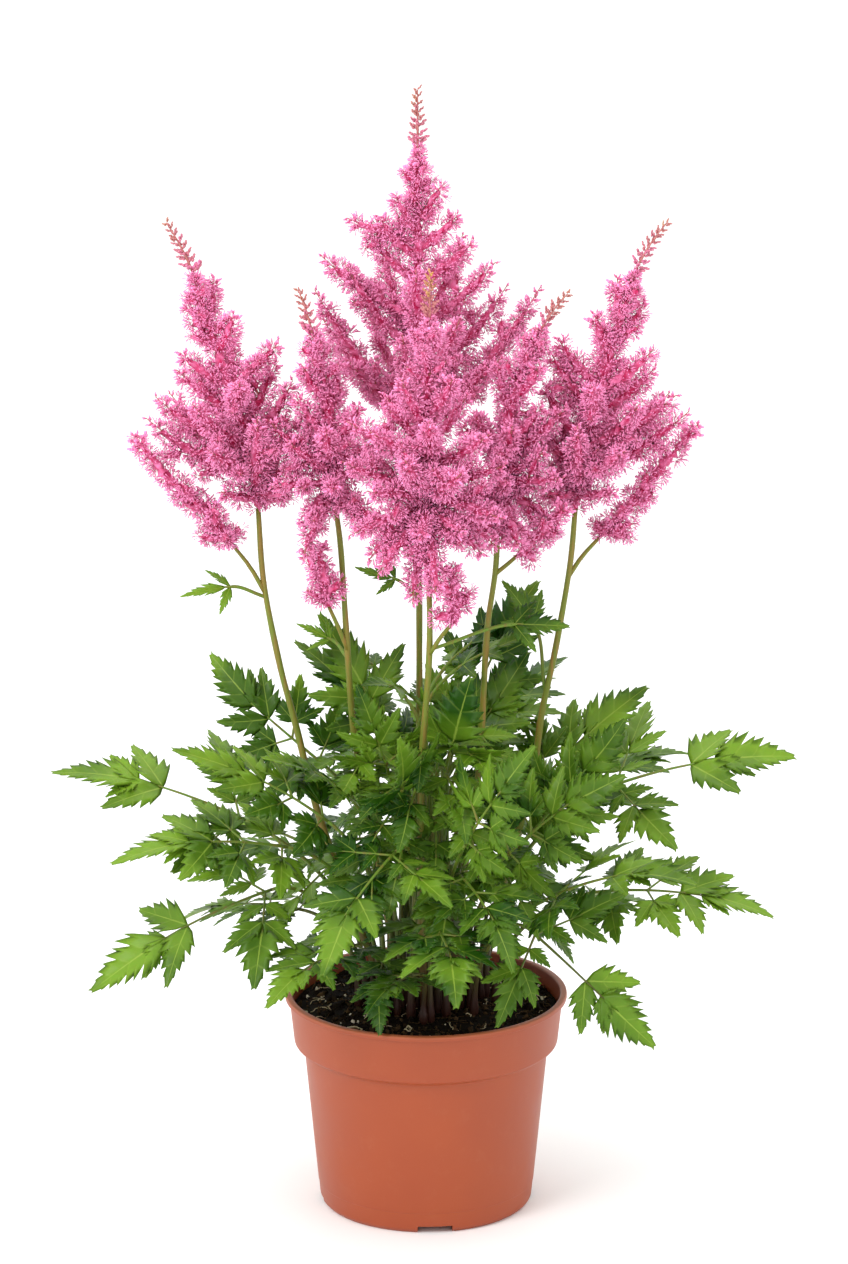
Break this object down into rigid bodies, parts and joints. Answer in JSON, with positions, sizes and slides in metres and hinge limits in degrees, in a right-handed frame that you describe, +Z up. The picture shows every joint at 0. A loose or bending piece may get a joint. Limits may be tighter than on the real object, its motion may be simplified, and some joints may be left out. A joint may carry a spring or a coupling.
{
  "type": "astilbe plant",
  "caption": "Potted astilbe: a clump of divided, toothed leaves and upright stalks with feathery pink plumes, rooted in peat in a tapered plastic nursery pot.",
  "frame": {"origin": "middle of the pot's foot, on the surface that it stands on", "axes": "+Z up, -Y towards the front of the plant, +X to the right as seen from the front"},
  "size_m": [0.4439, 0.3494, 0.673],
  "materials": {
    "pot": "satin terracotta-coloured polypropylene",
    "soil": "loose dark peat with fibres and perlite",
    "leaf": "living leaf, slight sheen",
    "stem": "living stem, satin",
    "blossom": "soft matte florets",
    "bud": "soft matte buds"
  },
  "bodies": {
    "root": {"buds_back": "bud", "buds_front_centre": "bud", "buds_left": "bud", "buds_left_centre": "bud", "buds_right": "bud", "buds_right_centre": "bud", "leaf_01": "leaf", "leaf_02": "leaf", "leaf_03": "leaf", "leaf_04": "leaf", "leaf_05": "leaf", "leaf_06": "leaf", "leaf_07": "leaf", "leaf_08": "leaf", "leaf_09": "leaf", "leaf_10": "leaf", "leaf_11": "leaf", "leaf_12": "leaf", "leaf_13": "leaf", "leaf_14": "leaf", "leaf_15": "leaf", "leaf_16": "leaf", "leaf_17": "leaf", "leaf_18": "leaf", "leaf_19": "leaf", "leaf_20": "leaf", "leaf_21": "leaf", "leaf_22": "leaf", "leaf_23": "leaf", "leaf_24": "leaf", "leaf_25": "leaf", "leaf_26": "leaf", "leaf_27": "leaf", "leaf_28": "leaf", "leaf_29": "leaf", "leaf_30": "leaf", "leaf_31": "leaf", "leaf_32": "leaf", "leaf_33": "leaf", "leaf_34": "leaf", "leaf_35": "leaf", "plume_back": "blossom", "plume_front_centre": "blossom", "plume_left": "blossom", "plume_left_centre": "blossom", "plume_right": "blossom", "plume_right_centre": "blossom", "pot": "pot", "side_plume_front_centre": "blossom", "side_plume_left": "blossom", "side_plume_left_centre": "blossom", "side_plume_right": "blossom", "side_plume_right_centre": "blossom", "soil": "soil", "stalk_back": "stem", "stalk_front_centre": "stem", "stalk_left": "stem", "stalk_left_centre": "stem", "stalk_right": "stem", "stalk_right_centre": "stem"}
  },
  "joints": []
}
